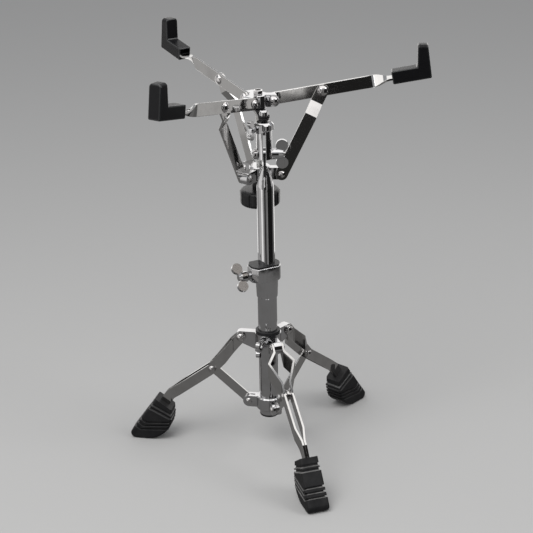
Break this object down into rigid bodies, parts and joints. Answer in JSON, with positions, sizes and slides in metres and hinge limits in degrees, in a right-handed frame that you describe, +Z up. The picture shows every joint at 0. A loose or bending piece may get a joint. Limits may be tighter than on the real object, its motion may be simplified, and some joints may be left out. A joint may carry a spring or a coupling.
{
  "type": "snare drum stand",
  "caption": "Folding chrome tripod stand with a telescoping tube, tilter and rubber-tipped three-arm basket that holds a snare drum.",
  "frame": {"origin": "on the axis of the column tubes, at floor level under the rubber feet", "axes": "+Z up along the column, +X to the right and +Y to the back as the stand is pictured"},
  "size_m": [0.4064, 0.415, 0.5456],
  "materials": {
    "chrome_tube": "polished chrome plate on steel tube",
    "chrome_casting": "bright chrome plate on castings",
    "chrome_strip": "chrome plate on bent flat steel",
    "chrome_fastener": "plated rivets, bolts and washers",
    "rod_steel": "zinc-plated threaded rod",
    "rubber": "matte black moulded rubber",
    "black_plastic": "black moulded nylon",
    "black_metal": "black coated casting"
  },
  "bodies": {
    "base": {"base_tube": "chrome_tube", "base_plug": "black_plastic", "brace_hub": "chrome_casting", "brace_hub_rivets": "chrome_fastener", "height_clamp": "chrome_casting", "height_clamp_bush": "black_plastic"},
    "height_screw": {"height_wing_screw": "chrome_casting"},
    "leg_hub": {"leg_hub": "chrome_casting", "leg_hub_ring": "black_plastic", "leg_hub_pivots": "chrome_fastener"},
    "leg_hub_screw": {"leg_hub_wing_screw": "chrome_casting"},
    "upper_tube": {"upper_tube": "chrome_tube"},
    "tilter": {"tilter_body": "chrome_casting", "tilt_washers": "chrome_fastener", "tilt_bolt": "chrome_fastener", "tilter_crown": "chrome_casting", "stem_cap": "chrome_casting"},
    "tilt_nut": {"tilt_wing_nut": "chrome_casting"},
    "crown_screw": {"crown_wing_screw": "chrome_casting"},
    "basket": {"basket_bracket": "black_metal", "basket_upper_hub": "chrome_casting", "basket_arm_bolts": "chrome_fastener", "basket_rod": "rod_steel", "basket_rod_nut": "chrome_fastener"},
    "lower_hub": {"basket_lower_hub": "chrome_casting", "basket_lower_rivets": "chrome_fastener"},
    "knob": {"basket_knob": "black_plastic"},
    "arm_left": {"arm_left": "chrome_strip", "arm_left_tip": "rubber", "arm_left_rivet": "chrome_fastener"},
    "arm_left_brace": {"arm_left_brace": "chrome_strip"},
    "arm_back": {"arm_back": "chrome_strip", "arm_back_tip": "rubber", "arm_back_rivet": "chrome_fastener"},
    "arm_back_brace": {"arm_back_brace": "chrome_strip"},
    "arm_right": {"arm_right": "chrome_strip", "arm_right_tip": "rubber", "arm_right_rivet": "chrome_fastener"},
    "arm_right_brace": {"arm_right_brace": "chrome_strip"},
    "leg_left": {"leg_left_strip_a": "chrome_strip", "leg_left_strip_b": "chrome_strip", "leg_left_rivet": "chrome_fastener", "leg_left_foot": "rubber"},
    "leg_left_brace": {"leg_left_brace": "chrome_strip"},
    "leg_front": {"leg_front_strip_a": "chrome_strip", "leg_front_strip_b": "chrome_strip", "leg_front_rivet": "chrome_fastener", "leg_front_foot": "rubber"},
    "leg_front_brace": {"leg_front_brace": "chrome_strip"},
    "leg_right": {"leg_right_strip_a": "chrome_strip", "leg_right_strip_b": "chrome_strip", "leg_right_rivet": "chrome_fastener", "leg_right_foot": "rubber"},
    "leg_right_brace": {"leg_right_brace": "chrome_strip"}
  },
  "joints": [
    {"name": "height_slide", "type": "slide", "parent": "base", "child": "upper_tube", "axis": [0, 0, 1], "range_m": [-0.055, 0.1]},
    {"name": "tilt", "type": "hinge", "parent": "upper_tube", "child": "tilter", "pos_m": [0, 0, 0.4154], "axis": [1, 0, 0], "range_deg": [0, 45]},
    {"name": "swivel", "type": "hinge", "parent": "tilter", "child": "basket", "pos_m": [0, 0, 0.46], "axis": [0, 0, 1], "range_deg": [-10, 10]},
    {"name": "knob_turn", "type": "hinge", "parent": "lower_hub", "child": "knob", "pos_m": [-0.00675, 0.04145, 0.345], "axis": [0, 0, 1], "range_deg": [0, 2318.4]},
    {"name": "lower_hub_slide", "type": "slide", "parent": "basket", "child": "lower_hub", "axis": [0, 0, 1], "range_m": [0, 0.02577]},
    {"name": "leg_hub_slide", "type": "slide", "parent": "base", "child": "leg_hub", "axis": [0, 0, 1], "range_m": [0, 0.03615]},
    {"name": "height_screw_turn", "type": "hinge", "parent": "base", "child": "height_screw", "pos_m": [-0.02227, -0.01135, 0.254], "axis": [-0.891, -0.454, 0], "continuous": true},
    {"name": "leg_hub_screw_turn", "type": "hinge", "parent": "leg_hub", "child": "leg_hub_screw", "pos_m": [-0.00848, -0.02773, 0.1615], "axis": [-0.2924, -0.9563, 0], "continuous": true},
    {"name": "tilt_nut_turn", "type": "hinge", "parent": "tilter", "child": "tilt_nut", "pos_m": [0.015, 0, 0.4154], "axis": [1, 0, 0], "continuous": true},
    {"name": "crown_screw_turn", "type": "hinge", "parent": "tilter", "child": "crown_screw", "pos_m": [-0.01125, -0.01341, 0.4522], "axis": [-0.6428, -0.766, 0], "continuous": true},
    {"name": "arm_left_hinge", "type": "hinge", "parent": "basket", "child": "arm_left", "pos_m": [-0.01822, 0.02507, 0.47493], "axis": [-0.8192, 0.5736, 0], "range_deg": [0, 32.01]},
    {"name": "arm_left_brace_hinge", "type": "hinge", "parent": "lower_hub", "child": "arm_left_brace", "pos_m": [-0.02338, 0.0177, 0.3775], "axis": [-0.8192, 0.5736, 0], "range_deg": [0, 7.05]},
    {"name": "arm_back_hinge", "type": "hinge", "parent": "basket", "child": "arm_back", "pos_m": [-0.01764, 0.05823, 0.47493], "axis": [0.8387, 0.5446, 0], "range_deg": [0, 32.01]},
    {"name": "arm_back_brace_hinge", "type": "hinge", "parent": "lower_hub", "child": "arm_back_brace", "pos_m": [-0.02255, 0.06578, 0.3775], "axis": [0.8387, 0.5446, 0], "range_deg": [0, 7.05]},
    {"name": "arm_right_hinge", "type": "hinge", "parent": "basket", "child": "arm_right", "pos_m": [0.0132, 0.04006, 0.47493], "axis": [-0.0698, -0.9976, 0], "range_deg": [0, 32.01]},
    {"name": "arm_right_brace_hinge", "type": "hinge", "parent": "lower_hub", "child": "arm_right_brace", "pos_m": [0.02218, 0.03943, 0.3775], "axis": [-0.0698, -0.9976, 0], "range_deg": [0, 7.05]},
    {"name": "leg_left_hinge", "type": "hinge", "parent": "leg_hub", "child": "leg_left", "pos_m": [-0.03521, 0.00749, 0.1608], "axis": [-0.2079, -0.9781, 0], "range_deg": [0, 30.01]},
    {"name": "leg_left_brace_hinge", "type": "hinge", "parent": "base", "child": "leg_left_brace", "pos_m": [-0.02641, 0.00561, 0.0665], "axis": [0.2079, 0.9781, 0], "range_deg": [0, 31.36]},
    {"name": "leg_front_hinge", "type": "hinge", "parent": "leg_hub", "child": "leg_front", "pos_m": [0.01112, -0.03424, 0.1608], "axis": [0.9511, 0.309, 0], "range_deg": [0, 30.01]},
    {"name": "leg_front_brace_hinge", "type": "hinge", "parent": "base", "child": "leg_front_brace", "pos_m": [0.00834, -0.02568, 0.0665], "axis": [-0.9511, -0.309, 0], "range_deg": [0, 31.36]},
    {"name": "leg_right_hinge", "type": "hinge", "parent": "leg_hub", "child": "leg_right", "pos_m": [0.02409, 0.02675, 0.1608], "axis": [-0.7431, 0.6691, 0], "range_deg": [0, 30.01]},
    {"name": "leg_right_brace_hinge", "type": "hinge", "parent": "base", "child": "leg_right_brace", "pos_m": [0.01807, 0.02006, 0.0665], "axis": [0.7431, -0.6691, 0], "range_deg": [0, 31.36]}
  ],
  "couplings": [
    {"joint": "lower_hub_slide", "follows": "knob_turn", "m_per_rad": 0.00063662},
    {"joint": "arm_left_hinge", "follows": "knob_turn", "ratio": 0.013803},
    {"joint": "arm_left_brace_hinge", "follows": "knob_turn", "ratio": 0.0030366},
    {"joint": "arm_back_hinge", "follows": "knob_turn", "ratio": 0.013803},
    {"joint": "arm_back_brace_hinge", "follows": "knob_turn", "ratio": 0.0030366},
    {"joint": "arm_right_hinge", "follows": "knob_turn", "ratio": 0.013803},
    {"joint": "arm_right_brace_hinge", "follows": "knob_turn", "ratio": 0.0030366},
    {"joint": "leg_left_hinge", "follows": "leg_hub_slide", "rad_per_m": 14.484},
    {"joint": "leg_left_brace_hinge", "follows": "leg_hub_slide", "rad_per_m": 15.136},
    {"joint": "leg_front_hinge", "follows": "leg_hub_slide", "rad_per_m": 14.484},
    {"joint": "leg_front_brace_hinge", "follows": "leg_hub_slide", "rad_per_m": 15.136},
    {"joint": "leg_right_hinge", "follows": "leg_hub_slide", "rad_per_m": 14.484},
    {"joint": "leg_right_brace_hinge", "follows": "leg_hub_slide", "rad_per_m": 15.136}
  ]
}
